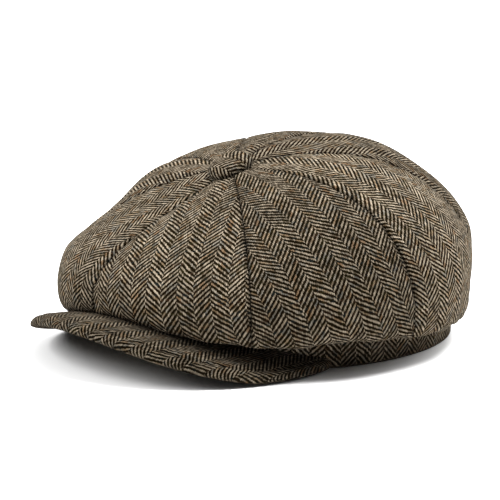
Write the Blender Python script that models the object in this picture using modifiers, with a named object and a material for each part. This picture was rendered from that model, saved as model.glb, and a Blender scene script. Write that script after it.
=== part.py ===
"""Newsboy cap, built as an assembly: eight crown panels, eight lining gores,
head band with interfacing and sweatband, covered top button, and a sewn brim
that flexes on the band.  Metres, +Z up, brim towards -Y, wearer's left is +X.
Origin: middle of the head opening, in the plane the cap rests on."""
import bpy
import numpy as np
from math import radians, pi, sin, cos
from mathutils import Matrix

# ---------------------------------------------------------------- dimensions
BAND_X = 0.0905            # outer half width of the head band
BAND_Y = 0.1015            # outer half length of the head band
BAND_H = 0.0235            # height of the head band
BAND_T = 0.0016            # band cloth, turned double
INTER_T = 0.0006           # buckram
SWEAT_T = 0.0008           # sweatband tape
SWEAT_H = 0.0265
GAP = 0.0003               # clearance kept between neighbouring pieces
ARCH_H = 0.0165            # how far the brim seam arches up at the front
ARCH_W = 0.0860            # half width of that arch
APEX = (0.0014, -0.0395, 0.0985)
EQ_X0, EQ_Y0 = -0.005, -0.0085
EQ_RX, EQ_RY = 0.1240, 0.1180
EQ_EGG = 0.008
EQ_Z = (0.0415, -0.0145, 0.0085)
K_TOP = (0.62, -0.075, -0.20)
K_SIDE = (0.42, -0.09, 0.08)
RISE = (0.0105, -0.0265, -0.0006)
HANG = (0.0142, -0.0029, 0.0018, 0.0001, 0.0012)
HANG_ARCH = 1.19
SAG = ((25.0, 25.0, -0.0069), (62.0, 20.0, 0.0034), (-30.0, 24.0, -0.0028))   # angle, spread, height
HANG_W = 0.56
BACK_FLARE = 0.045         # the hanging fold leans out a little at the back
SIDE_TUCK = (0.020, 0.040)  # the wearer's left is drawn in, at and below the widest ring
SWELL = ((198.0, 45.0, 0.42, 0.33, 0.0022), (152.0, 28.0, 0.70, 0.24, -0.0010),
         (168.0, 27.0, 0.42, 0.19, 0.0026), (250.0, 48.0, 0.30, 0.20, 0.0026),
         (-38.0, 20.0, 0.80, 0.14, 0.0034), (-61.0, 11.0, 0.48, 0.14, -0.0034))
SEAMS = (-4.0, 43.8, 89.5, 134.0, 180.0, 230.0, 273.0, 315.0)   # degrees
SEAM_DIP = 0.0032          # how far a seam sinks between two panels
CLOTH_T = 0.0012
LINING_T = 0.0005
LINING_IN = 0.0067         # room between shell and lining
N_PANELS = 8
PANEL_U, PANEL_ROWS = 8, (8, 10)
GORE_U, GORE_ROWS = 4, (7, 5)
BRIM_ANGLE = 68.0
BRIM_LEN = 0.0505
BRIM_SIDE = -0.012
BRIM_SEAM = 0.0013         # slit between brim and band
BRIM_MID = 0.0029
BRIM_LIFT = 0.0098         # the brim rises from its seam,
BRIM_DROP = 0.0046         # bends down towards its front edge
BRIM_DROOP = 0.0036        # and falls away to either side of it
COVER_T = 0.0013
BOARD_T = 0.0018
COVER_OFF = 0.0021
COVER_EDGE = 0.00092
BUTTON_R = 0.0128
BUTTON_H = 0.0058
BUTTON_TILT = 25.0
HINGE_Y, HINGE_Z = -0.072, 0.014

# ------------------------------------------------------------------ clean up
for ob in list(bpy.data.objects):
    bpy.data.objects.remove(ob, do_unlink=True)
for me in list(bpy.data.meshes):
    bpy.data.meshes.remove(me)
for co in list(bpy.data.collections):
    bpy.data.collections.remove(co)

scene = bpy.context.scene
cap = bpy.data.collections.new("newsboy_cap")
scene.collection.children.link(cap)


def material(name, rgb, rough, metal=0.0):
    m = bpy.data.materials.new(name)
    m.use_nodes = True
    b = m.node_tree.nodes["Principled BSDF"]
    b.inputs["Base Color"].default_value = (*rgb, 1.0)
    b.inputs["Roughness"].default_value = rough
    b.inputs["Metallic"].default_value = metal
    m.diffuse_color = (*rgb, 1.0)
    return m


TWEED = material("tweed", (0.105, 0.083, 0.058), 0.95)
TWEED_BAND = material("tweed_band", (0.085, 0.068, 0.048), 0.95)
TWEED_BRIM = material("tweed_brim", (0.080, 0.064, 0.045), 0.95)
SATIN = material("satin", (0.055, 0.042, 0.032), 0.45)
COTTON = material("cotton", (0.030, 0.024, 0.020), 0.85)
BUCKRAM = material("buckram", (0.60, 0.57, 0.50), 0.90)
BOARD = material("board", (0.10, 0.10, 0.10), 0.60)
STEEL = material("steel", (0.45, 0.45, 0.46), 0.40, 1.0)
LABEL = material("label", (0.55, 0.50, 0.40), 0.80)


# -------------------------------------------------------------------- shapes
def ease(x):
    x = np.clip(x, 0.0, 1.0)
    return x * x * (3.0 - 2.0 * x)


def arch(x, y):
    """Height of the brim seam above the table."""
    rise = ARCH_H * np.clip(1.0 - (np.asarray(x) / ARCH_W) ** 2, 0.0, None)
    return rise * ease((-np.asarray(y) - 0.020) / 0.050)


def ring(th, off=0.0):
    return (BAND_X + off) * np.sin(th), -(BAND_Y + off) * np.cos(th)


def bezier(a, b, c, d, t):
    t = t[None, :, None]
    a, b, c, d = (q[:, None] if q.ndim == 2 else q for q in (a, b, c, d))
    return ((1 - t) ** 3 * a + 3 * (1 - t) ** 2 * t * b
            + 3 * (1 - t) * t * t * c + t ** 3 * d)


def hang(th):
    """Lowest height the crown hangs to at an angle."""
    c1, s1 = np.cos(th), np.sin(th)
    over = np.clip(1 - ((EQ_X0 + 0.112 * s1) / ARCH_W) ** 2, 0, None)
    over = over * ARCH_H * ease((c1 + 0.1) / 0.5)
    low = (HANG[0] + HANG[1] * c1 + HANG[2] * s1 + HANG[3] * np.cos(2 * th)
           + HANG[4] * np.sin(2 * th) + HANG_ARCH * over)
    for at, spread, amount in SAG:
        away = (np.degrees(th) - at + 180.0) % 360.0 - 180.0
        low = low + amount * np.exp(-(away / spread) ** 2)
    return low


def turns(th):
    """Angle measured in panels: whole numbers fall on the seams."""
    edge = np.array([SEAMS[-1] - 360.0, *SEAMS, SEAMS[0] + 360.0])
    deg = (np.degrees(th) - SEAMS[0]) % 360.0 + SEAMS[0]
    return np.interp(deg, edge, np.arange(-1.0, N_PANELS + 1.0))


def crown(th, s, sink=SEAM_DIP):
    """Outer skin of the crown: s runs 0 at the button, 1 at the widest ring,
    2 at the band seam.  th is 0 at the front and turns to wearer's left."""
    th = np.atleast_1d(np.asarray(th, float))
    s = np.atleast_1d(np.asarray(s, float))
    c1, c2, s1 = np.cos(th), np.cos(2 * th), np.sin(th)
    z = 0.0 * th
    top = np.array(APEX)
    wide = np.stack([EQ_X0 + EQ_RX * s1 * (1 + EQ_EGG * c1),
                     EQ_Y0 - EQ_RY * c1,
                     EQ_Z[0] + EQ_Z[1] * c1 + EQ_Z[2] * c2], -1)
    tuck = np.exp(-((th - 2.15) / 0.60) ** 2)
    wide[:, :2] *= (1 - SIDE_TUCK[0] * tuck)[:, None]
    bx, by = ring(th, 0.0012)
    seam = np.stack([bx, by, BAND_H + arch(bx, by) + 0.0008], -1)
    flat = (wide - top) * [1, 1, 0]
    k1 = K_TOP[0] + K_TOP[1] * c1 + K_TOP[2] * c2
    k2 = K_SIDE[0] + K_SIDE[1] * c1 + K_SIDE[2] * c2
    rise = RISE[0] + RISE[1] * c1 + RISE[2] * c2
    p1 = top + flat * k1[:, None] + np.stack([z, z, rise], -1)
    p2 = wide + np.stack([z, z, (top[2] - wide[:, 2]) * k2], -1)
    low = (8 * hang(th) - wide[:, 2] - seam[:, 2]) / 6.0
    flare = 1 + BACK_FLARE * ((1 - c1) / 2) ** 8 - SIDE_TUCK[1] * tuck
    p3 = np.stack([wide[:, 0] * flare, wide[:, 1] * flare, low], -1)
    p4 = seam + (wide - seam) * [1, 1, 0] * HANG_W
    p4[:, 2] = low
    t = np.clip(s, 0, 1)
    up = bezier(np.broadcast_to(top, wide.shape), p1, p2, wide, t)
    dn = bezier(wide, p3, p4, seam, np.clip(s - 1, 0, 1))
    out = np.where((s <= 1)[None, :, None], up, dn)
    for at, spread, row, reach, amount in SWELL:
        away = (np.degrees(th) - at + 180.0) % 360.0 - 180.0
        lump = np.exp(-(away / spread) ** 2)[:, None] * np.exp(-((s - row) / reach) ** 2)
        out[..., 2] += amount * lump * ease(s / 0.15)
    dip = 1 - np.abs(np.sin(pi * turns(th))) ** 0.6
    env = np.sin(pi * np.clip(s / 1.5, 0, 1)) ** 0.8 * ease(s / 0.25) * ease((1.5 - s) / 0.4)
    n = out - np.array([0, EQ_Y0, 0.045])
    n /= np.linalg.norm(n, axis=-1, keepdims=True)
    return out - n * (sink * dip[:, None] * env[None, :])[..., None]


def skin(th, s):
    """Crown surface with the seam dips smoothed out, and its outward normal."""
    e = 1e-4
    p = crown(th, s, 0.0)
    du = crown(np.asarray(th) + e, s, 0.0) - p
    dv = crown(th, np.asarray(s) + e, 0.0) - p
    n = np.cross(dv, du)
    return p, n / np.linalg.norm(n, axis=-1, keepdims=True)


def lining(th, s):
    """Outer skin of the lining, which hangs loose inside the crown."""
    th = np.atleast_1d(np.asarray(th, float))
    s = np.atleast_1d(np.asarray(s, float))
    z = 0.0 * th
    p, n = skin(th, np.clip(s, 0.02, 0.999))
    near = 1 - ease(s / 0.35)[None, :, None]
    axis = np.array([0, -sin(radians(BUTTON_TILT)), cos(radians(BUTTON_TILT))])
    n = n * (1 - near) + axis * near
    up = p - n / np.linalg.norm(n, axis=-1, keepdims=True) * LINING_IN
    p, n = skin(th, [0.999])
    wide = (p - n * LINING_IN)[:, 0]
    bx, by = ring(th, -0.0010)
    seam = np.stack([bx, by, BAND_H + arch(bx, by) + 0.0009], -1)
    fall = np.maximum(0.004, 0.5 * (wide[:, 2] - seam[:, 2]))
    p1 = wide - np.stack([z, z, fall], -1)
    p2 = seam + (wide - seam) * [1, 1, 0] * 0.15 + [0, 0, 0.012]
    dn = bezier(wide, p1, p2, seam, np.clip(s - 1, 0, 1))
    return np.where((s <= 1)[None, :, None], up, dn)


# ------------------------------------------------------------------ builders
def link(name, verts, faces, mat):
    me = bpy.data.meshes.new(name)
    me.from_pydata([tuple(float(c) for c in v) for v in verts], [], faces)
    me.validate()
    me.update()
    ob = bpy.data.objects.new(name, me)
    cap.objects.link(ob)
    me.materials.append(mat)
    for p in me.polygons:
        p.use_smooth = True
    return ob


def grid_faces(nu, nv, flip=False):
    faces = []
    for i in range(nu - 1):
        for j in range(nv - 1):
            a = i * nv + j
            f = (a, a + 1, a + nv + 1, a + nv)
            faces.append(f[::-1] if flip else f)
    return faces


def sheet(name, pts, mat, thick, offset, flip=False):
    nu, nv = pts.shape[:2]
    ob = link(name, pts.reshape(-1, 3), grid_faces(nu, nv, flip), mat)
    m = ob.modifiers.new("thickness", "SOLIDIFY")
    m.thickness = thick
    m.offset = offset
    m.use_even_offset = True
    m.use_rim = True
    return ob


def panel(name, mat, fn, index, nu, rows, s_first, slit, thick):
    """One wedge between two seams, lofted as a closed shell.  Each edge is
    held back from its seam by slit, and the thickness runs inwards along a
    direction both neighbours share, so they never touch."""
    a0 = radians(SEAMS[index])
    a1 = radians((*SEAMS, SEAMS[0] + 360.0)[index + 1])
    s = np.concatenate([np.linspace(s_first, 1.0, rows[0] + 1),
                        np.linspace(1.0, 2.0, rows[1] + 1)[1:]])
    w = 0.5 * (0.5 - 0.5 * np.cos(pi * np.arange(nu + 1) / nu)) + 0.5 * np.arange(nu + 1) / nu
    nv = len(s)
    out = np.zeros((nu + 1, nv, 3))
    inn = np.zeros((nu + 1, nv, 3))
    e = 0.015
    for j, sj in enumerate(s):
        d0 = np.linalg.norm(fn(a0 + e, sj)[0, 0] - fn(a0 + 2 * e, sj)[0, 0]) / e
        d1 = np.linalg.norm(fn(a1 - e, sj)[0, 0] - fn(a1 - 2 * e, sj)[0, 0]) / e
        th = a0 + slit / d0 + (a1 - slit / d1 - a0 - slit / d0) * w
        mid = th.copy()
        mid[0], mid[-1] = a0, a1
        p = fn(th, sj)[:, 0]
        f = min(max(sj, s_first + 0.02), 1.98)
        du = (fn(mid + e, f) - fn(mid - e, f))[:, 0]
        dv = (fn(mid, f + 0.02) - fn(mid, f - 0.02))[:, 0]
        n = np.cross(dv, du)
        n /= np.linalg.norm(n, axis=1, keepdims=True)
        out[:, j] = p
        inn[:, j] = p - n * thick
    # outer and inner skins fold along the same diagonal, so they stay parallel
    k = (nu + 1) * nv
    faces = []
    for a, b, c, d in grid_faces(nu + 1, nv):
        faces += [(a, b, c), (a, c, d), (c + k, b + k, a + k), (d + k, c + k, a + k)]
    rim = ([i * nv for i in range(nu + 1)] + [nu * nv + j for j in range(1, nv)]
           + [i * nv + nv - 1 for i in range(nu - 1, -1, -1)] + [j for j in range(nv - 2, 0, -1)])
    for q, r in zip(rim, rim[1:] + rim[:1]):
        faces.append((q, r, r + k, q + k))
    return link(name, np.concatenate([out.reshape(-1, 3), inn.reshape(-1, 3)]), faces, mat)


def ring_wall(name, mat, off_out, off_in, z_lo, z_hi, seg=72):
    """Closed wall that follows the head oval between two offsets."""
    th = 2 * pi * np.arange(seg) / seg
    rows = []
    for off, z in ((off_out, z_lo), (off_out, z_hi), (off_in, z_hi), (off_in, z_lo)):
        x, y = ring(th, off)
        xr, yr = ring(th, 0.0)
        rows.append(np.stack([x, y, arch(xr, yr) + z], -1))
    verts = np.concatenate(rows)
    faces = []
    for i in range(seg):
        k = (i + 1) % seg
        for r in range(4):
            q = (r + 1) % 4
            faces.append((r * seg + i, r * seg + k, q * seg + k, q * seg + i))
    return link(name, verts, faces, mat)


def turned(name, mat, profile, seg=28):
    """Profile of (radius, height), run down its outer side, turned about the
    button's own axis, which leans forward with the crown's slope."""
    me = bpy.data.meshes.new(name)
    me.from_pydata([(r, 0.0, h) for r, h in profile],
                   [(i, i + 1) for i in range(len(profile) - 1)], [])
    me.materials.append(mat)
    ob = bpy.data.objects.new(name, me)
    cap.objects.link(ob)
    ob.location = APEX
    ob.rotation_euler = (radians(BUTTON_TILT), 0.0, 0.0)
    m = ob.modifiers.new("turn", "SCREW")
    m.angle = 2 * pi
    m.steps = m.render_steps = seg
    m.use_merge_vertices = True
    m.merge_threshold = 0.00002
    m.use_smooth_shade = True
    return ob


# ------------------------------------------------------- crown and its lining
for n in range(N_PANELS):
    panel("crown_panel_%d" % (n + 1), TWEED, crown, n, PANEL_U, PANEL_ROWS, 0.032, 0.00034, CLOTH_T)
    panel("lining_panel_%d" % (n + 1), SATIN, lining, n, GORE_U, GORE_ROWS, 0.022, 0.00022, LINING_T)

# ------------------------------------------------------------------- headband
ring_wall("band_outer", TWEED_BAND, 0.0, -BAND_T, 0.0, BAND_H)
o = -BAND_T - GAP
ring_wall("band_interfacing", BUCKRAM, o, o - INTER_T, 0.0008, BAND_H - 0.0012)
o = o - INTER_T - GAP
ring_wall("sweatband", COTTON, o, o - SWEAT_T, 0.0006, SWEAT_H)
SWEAT_IN = o - SWEAT_T


def patch(name, mat, off, thick, a0, a1, z0, z1, seg=8):
    th = np.linspace(a0, a1, seg + 1)
    x, y = ring(th, off)
    pts = np.stack([np.stack([x, y, 0 * x + z0], -1),
                    np.stack([x, y, 0 * x + z1], -1)], 1)
    return sheet(name, pts, mat, thick, -1.0, flip=True)


patch("size_label", LABEL, SWEAT_IN - GAP, 0.0005, radians(171), radians(189),
      0.0070, 0.0215)

# --------------------------------------------------------------- top button
def dome(r, h, n, edge):
    """Half of a low rounded cap from its edge to the axis."""
    return [(r * cos(a), edge + h * sin(a)) for a in
            (pi / 2 * i / n for i in range(n + 1))][:-1] + [(0.0, edge + h)]


R, H = BUTTON_R, BUTTON_H
base = 0.0008
inner = dome(R - 0.0012, H - 0.0012, 5, base + 0.0008)[::-1]
outer = [(R - 0.0030, base), (R - 0.0008, base + 0.0002)] + dome(R, H - 0.0010, 6, base + 0.0010)
turned("button_cover", TWEED, (inner + outer)[::-1])
r2, h2 = R - 0.0015, H - 0.0015 - 0.0004
shell = [(0.0, -0.0036), (0.0014, -0.0036), (0.0014, base + 0.0011), (r2, base + 0.0011)]
turned("button_shell", STEEL, (shell + dome(r2, h2, 5, base + 0.0012)[1:])[::-1])
turned("button_back", BOARD, [(0.0, -0.0039), (0.0070, -0.0039), (0.0070, -0.0048), (0.0, -0.0048)], 24)

# ---------------------------------------------------------------------- brim
def brim_point(u, v, inset=0.0):
    """u runs -1..1 along the brim seam, v 0..1 from seam to edge.  Returns the
    point, how far it lies inside the outer edge, and its height."""
    th = u * radians(BRIM_ANGLE)
    x, y = ring(th, BRIM_SEAM)
    nx, ny = 0.7 * sin(th), -cos(th)
    k = (nx * nx + ny * ny) ** 0.5
    a = abs(u)
    length = BRIM_LEN * (1 - a ** 3) + BRIM_SIDE * (a * a - a ** 3) - inset
    length = max(length, 0.0015)
    t = length * v / BRIM_LEN
    rise = BRIM_LIFT * t - BRIM_DROP * t ** 4 - BRIM_DROOP * t * (x / 0.045) ** 2
    rise = rise * max(1 - (x / ARCH_W) ** 2, 0.0)
    x, y = x + nx / k * length * v, y + ny / k * length * v
    return x, y, length * (1 - v), float(arch(x, y)) + BRIM_MID + rise


def brim_sheet(name, mat, thick, side, inset, nu=30, nv=7, u_max=0.965):
    pts = np.zeros((nu + 1, nv + 1, 3))
    for i in range(nu + 1):
        u = u_max * (2.0 * i / nu - 1.0)
        for j in range(nv + 1):
            v = 1.0 - (1.0 - j / nv) ** 1.5
            x, y, d, z = brim_point(u, v, inset)
            end = (1.0 - abs(u) / u_max) * 0.06
            d = min(d, end)
            q = min(d / 0.006, 1.0)
            off = COVER_EDGE + (COVER_OFF - COVER_EDGE) * (1 - (1 - q) ** 2) ** 0.5
            pts[i, j] = (x, y, z + side * off)
    return sheet(name, pts, mat, thick, 0.0, flip=side < 0)


brim = [brim_sheet("brim_top_cover", TWEED_BRIM, COVER_T, 1.0, 0.0),
        brim_sheet("brim_under_cover", TWEED_BRIM, COVER_T, -1.0, 0.0),
        brim_sheet("brim_board", BOARD, BOARD_T, 0.0, 0.0065, nv=5, u_max=0.88)]

# The brim turns on its seam: its pieces share an empty on that line.
pivot = bpy.data.objects.new("brim_pivot", None)
pivot.empty_display_type = "PLAIN_AXES"
pivot.empty_display_size = 0.03
pivot.location = (0.0, HINGE_Y, HINGE_Z)
cap.objects.link(pivot)
for ob in brim:
    ob.data.transform(Matrix.Translation((0.0, -HINGE_Y, -HINGE_Z)))
    ob.parent = pivot
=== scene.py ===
"""Looks for the newsboy cap: cloth panels with rolled seams and a woven
herringbone, brim, band, covered button, satin lining, sweatband and label,
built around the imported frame.  Metres, +Z up, brim towards -Y."""
from math import radians, pi, sin, cos, sqrt

import bpy
import numpy as np
from mathutils import Matrix, Vector, noise


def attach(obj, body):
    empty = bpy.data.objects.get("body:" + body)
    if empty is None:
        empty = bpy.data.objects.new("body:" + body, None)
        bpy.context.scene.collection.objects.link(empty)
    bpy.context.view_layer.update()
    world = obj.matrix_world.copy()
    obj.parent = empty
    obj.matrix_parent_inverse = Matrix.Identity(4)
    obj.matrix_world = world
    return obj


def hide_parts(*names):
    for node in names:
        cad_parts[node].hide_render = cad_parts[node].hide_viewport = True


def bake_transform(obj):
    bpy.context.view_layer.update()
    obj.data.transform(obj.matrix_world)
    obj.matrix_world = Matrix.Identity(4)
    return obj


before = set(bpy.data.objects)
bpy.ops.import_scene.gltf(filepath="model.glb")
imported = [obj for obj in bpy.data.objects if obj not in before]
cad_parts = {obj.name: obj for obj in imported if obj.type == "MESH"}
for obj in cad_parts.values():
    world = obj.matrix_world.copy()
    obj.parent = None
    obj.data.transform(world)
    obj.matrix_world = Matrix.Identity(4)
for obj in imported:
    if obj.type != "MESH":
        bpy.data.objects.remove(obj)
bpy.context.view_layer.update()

# ---------------------------------------------------------------- dimensions
BAND_X = 0.0905            # outer half width of the head band
BAND_Y = 0.1015            # outer half length of the head band
BAND_H = 0.0235            # height of the head band
BAND_T = 0.0016            # band cloth, turned double
INTER_T = 0.0006           # buckram
SWEAT_T = 0.0008           # sweatband tape
SWEAT_H = 0.0265
GAP = 0.0003               # clearance kept between neighbouring pieces
ARCH_H = 0.0165            # how far the brim seam arches up at the front
ARCH_W = 0.0860            # half width of that arch
APEX = (0.0014, -0.0395, 0.0985)
EQ_X0, EQ_Y0 = -0.005, -0.0085
EQ_RX, EQ_RY = 0.1240, 0.1180
EQ_EGG = 0.008
EQ_Z = (0.0415, -0.0145, 0.0085)
K_TOP = (0.62, -0.075, -0.20)
K_SIDE = (0.42, -0.09, 0.08)
RISE = (0.0105, -0.0265, -0.0006)
HANG = (0.0142, -0.0029, 0.0018, 0.0001, 0.0012)
HANG_ARCH = 1.19
SAG = ((25.0, 25.0, -0.0069), (62.0, 20.0, 0.0034), (-30.0, 24.0, -0.0028),
       (-7.0, 12.0, -0.0015))   # angle, spread, height
HANG_W = 0.56
BACK_FLARE = 0.045         # the hanging fold leans out a little at the back
SIDE_TUCK = (0.020, 0.040)  # the wearer's left is drawn in, at and below the widest ring
SWELL = ((198.0, 45.0, 0.42, 0.33, 0.0022), (152.0, 28.0, 0.70, 0.24, -0.0010),
         (168.0, 27.0, 0.42, 0.19, 0.0026), (250.0, 48.0, 0.30, 0.20, 0.0026),
         (-38.0, 20.0, 0.80, 0.14, 0.0034), (-61.0, 11.0, 0.48, 0.14, -0.0034))
SEAMS = (-4.0, 43.8, 89.5, 134.0, 180.0, 230.0, 273.0, 315.0)   # degrees
SEAM_DIP = 0.0032          # how far a seam sinks between two panels
CLOTH_T = 0.0012
LINING_T = 0.0005
LINING_IN = 0.0067         # room between shell and lining
N_PANELS = 8
PANEL_U, PANEL_ROWS = 8, (8, 10)
GORE_U, GORE_ROWS = 4, (7, 5)
BRIM_ANGLE = 68.0
BRIM_LEN = 0.0505
BRIM_SIDE = -0.012
BRIM_SEAM = 0.0013         # slit between brim and band
BRIM_MID = 0.0029
BRIM_LIFT = 0.0098         # the brim rises from its seam,
BRIM_DROP = 0.0046         # bends down towards its front edge
BRIM_DROOP = 0.0036        # and falls away to either side of it
COVER_T = 0.0013
BOARD_T = 0.0018
COVER_OFF = 0.0021
COVER_EDGE = 0.00092
BUTTON_R = 0.0128
BUTTON_H = 0.0058
BUTTON_TILT = 25.0
HINGE_Y, HINGE_Z = -0.072, 0.014
STRIPE = 0.0090            # half a herringbone repeat across the cloth
YARNS = 12                 # warp yarns in one stripe
PITCH = 0.00292            # one twill line to the next, along the cloth
SLOPE = 0.91               # rise of a twill line for each step across


# -------------------------------------------------------------------- shapes
def ease(x):
    x = np.clip(x, 0.0, 1.0)
    return x * x * (3.0 - 2.0 * x)


def arch(x, y):
    """Height of the brim seam above the table."""
    rise = ARCH_H * np.clip(1.0 - (np.asarray(x) / ARCH_W) ** 2, 0.0, None)
    return rise * ease((-np.asarray(y) - 0.020) / 0.050)


def ring(th, off=0.0):
    return (BAND_X + off) * np.sin(th), -(BAND_Y + off) * np.cos(th)


def bezier(a, b, c, d, t):
    t = t[None, :, None]
    a, b, c, d = (q[:, None] if q.ndim == 2 else q for q in (a, b, c, d))
    return ((1 - t) ** 3 * a + 3 * (1 - t) ** 2 * t * b
            + 3 * (1 - t) * t * t * c + t ** 3 * d)


def hang(th):
    """Lowest height the crown hangs to at an angle."""
    c1, s1 = np.cos(th), np.sin(th)
    over = np.clip(1 - ((EQ_X0 + 0.112 * s1) / ARCH_W) ** 2, 0, None)
    over = over * ARCH_H * ease((c1 + 0.1) / 0.5)
    low = (HANG[0] + HANG[1] * c1 + HANG[2] * s1 + HANG[3] * np.cos(2 * th)
           + HANG[4] * np.sin(2 * th) + HANG_ARCH * over)
    for at, spread, amount in SAG:
        away = (np.degrees(th) - at + 180.0) % 360.0 - 180.0
        low = low + amount * np.exp(-(away / spread) ** 2)
    return low


def turns(th):
    """Angle measured in panels: whole numbers fall on the seams."""
    edge = np.array([SEAMS[-1] - 360.0, *SEAMS, SEAMS[0] + 360.0])
    deg = (np.degrees(th) - SEAMS[0]) % 360.0 + SEAMS[0]
    return np.interp(deg, edge, np.arange(-1.0, N_PANELS + 1.0))


def crown(th, s, sink=SEAM_DIP):
    """Outer skin of the crown: s runs 0 at the button, 1 at the widest ring,
    2 at the band seam.  th is 0 at the front and turns to wearer's left."""
    th = np.atleast_1d(np.asarray(th, float))
    s = np.atleast_1d(np.asarray(s, float))
    c1, c2, s1 = np.cos(th), np.cos(2 * th), np.sin(th)
    z = 0.0 * th
    top = np.array(APEX)
    wide = np.stack([EQ_X0 + EQ_RX * s1 * (1 + EQ_EGG * c1),
                     EQ_Y0 - EQ_RY * c1,
                     EQ_Z[0] + EQ_Z[1] * c1 + EQ_Z[2] * c2], -1)
    tuck = np.exp(-((th - 2.15) / 0.60) ** 2)
    wide[:, :2] *= (1 - SIDE_TUCK[0] * tuck)[:, None]
    bx, by = ring(th, 0.0012)
    seam = np.stack([bx, by, BAND_H + arch(bx, by) + 0.0008], -1)
    flat = (wide - top) * [1, 1, 0]
    k1 = K_TOP[0] + K_TOP[1] * c1 + K_TOP[2] * c2
    k2 = K_SIDE[0] + K_SIDE[1] * c1 + K_SIDE[2] * c2
    rise = RISE[0] + RISE[1] * c1 + RISE[2] * c2
    p1 = top + flat * k1[:, None] + np.stack([z, z, rise], -1)
    p2 = wide + np.stack([z, z, (top[2] - wide[:, 2]) * k2], -1)
    low = (8 * hang(th) - wide[:, 2] - seam[:, 2]) / 6.0
    flare = 1 + BACK_FLARE * ((1 - c1) / 2) ** 8 - SIDE_TUCK[1] * tuck
    p3 = np.stack([wide[:, 0] * flare, wide[:, 1] * flare, low], -1)
    p4 = seam + (wide - seam) * [1, 1, 0] * HANG_W
    p4[:, 2] = low
    t = np.clip(s, 0, 1)
    up = bezier(np.broadcast_to(top, wide.shape), p1, p2, wide, t)
    dn = bezier(wide, p3, p4, seam, np.clip(s - 1, 0, 1))
    out = np.where((s <= 1)[None, :, None], up, dn)
    for at, spread, row, reach, amount in SWELL:
        away = (np.degrees(th) - at + 180.0) % 360.0 - 180.0
        lump = np.exp(-(away / spread) ** 2)[:, None] * np.exp(-((s - row) / reach) ** 2)
        out[..., 2] += amount * lump * ease(s / 0.15)
    dip = 1 - np.abs(np.sin(pi * turns(th))) ** 0.6
    env = np.sin(pi * np.clip(s / 1.5, 0, 1)) ** 0.8 * ease(s / 0.25) * ease((1.5 - s) / 0.4)
    n = out - np.array([0, EQ_Y0, 0.045])
    n /= np.linalg.norm(n, axis=-1, keepdims=True)
    return out - n * (sink * dip[:, None] * env[None, :])[..., None]


def skin(th, s):
    """Crown surface with the seam dips smoothed out, and its outward normal."""
    e = 1e-4
    p = crown(th, s, 0.0)
    du = crown(np.asarray(th) + e, s, 0.0) - p
    dv = crown(th, np.asarray(s) + e, 0.0) - p
    n = np.cross(dv, du)
    return p, n / np.linalg.norm(n, axis=-1, keepdims=True)


def lining(th, s):
    """Outer skin of the lining, which hangs loose inside the crown."""
    th = np.atleast_1d(np.asarray(th, float))
    s = np.atleast_1d(np.asarray(s, float))
    z = 0.0 * th
    p, n = skin(th, np.clip(s, 0.02, 0.999))
    near = 1 - ease(s / 0.35)[None, :, None]
    axis = np.array([0, -sin(radians(BUTTON_TILT)), cos(radians(BUTTON_TILT))])
    n = n * (1 - near) + axis * near
    up = p - n / np.linalg.norm(n, axis=-1, keepdims=True) * LINING_IN
    p, n = skin(th, [0.999])
    wide = (p - n * LINING_IN)[:, 0]
    bx, by = ring(th, -0.0010)
    seam = np.stack([bx, by, BAND_H + arch(bx, by) + 0.0009], -1)
    fall = np.maximum(0.004, 0.5 * (wide[:, 2] - seam[:, 2]))
    p1 = wide - np.stack([z, z, fall], -1)
    p2 = seam + (wide - seam) * [1, 1, 0] * 0.15 + [0, 0, 0.012]
    dn = bezier(wide, p1, p2, seam, np.clip(s - 1, 0, 1))
    return np.where((s <= 1)[None, :, None], up, dn)


def surf(th, s, sink=0.0):
    """Surface point and outward normal, taken across the seams."""
    e = 2e-3
    th = np.atleast_1d(np.asarray(th, float))
    s = np.atleast_1d(np.asarray(s, float))
    p = crown(th, s, sink)
    du = crown(th + e, s, sink) - crown(th - e, s, sink)
    lo, hi = np.clip(s - e, 0.004, 2.0), np.clip(s + e, 0.006, 2.0)
    dv = crown(th, hi, sink) - crown(th, lo, sink)
    n = np.cross(dv, du)
    return p, n / np.linalg.norm(n, axis=-1, keepdims=True)


def field(points, size, seed):
    """Smooth noise, about -1..1, one value per point."""
    off = Vector((seed * 7.31, seed * 3.17, seed * 5.73))
    return np.array([noise.noise(Vector(p) / size + off) for p in points])


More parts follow.
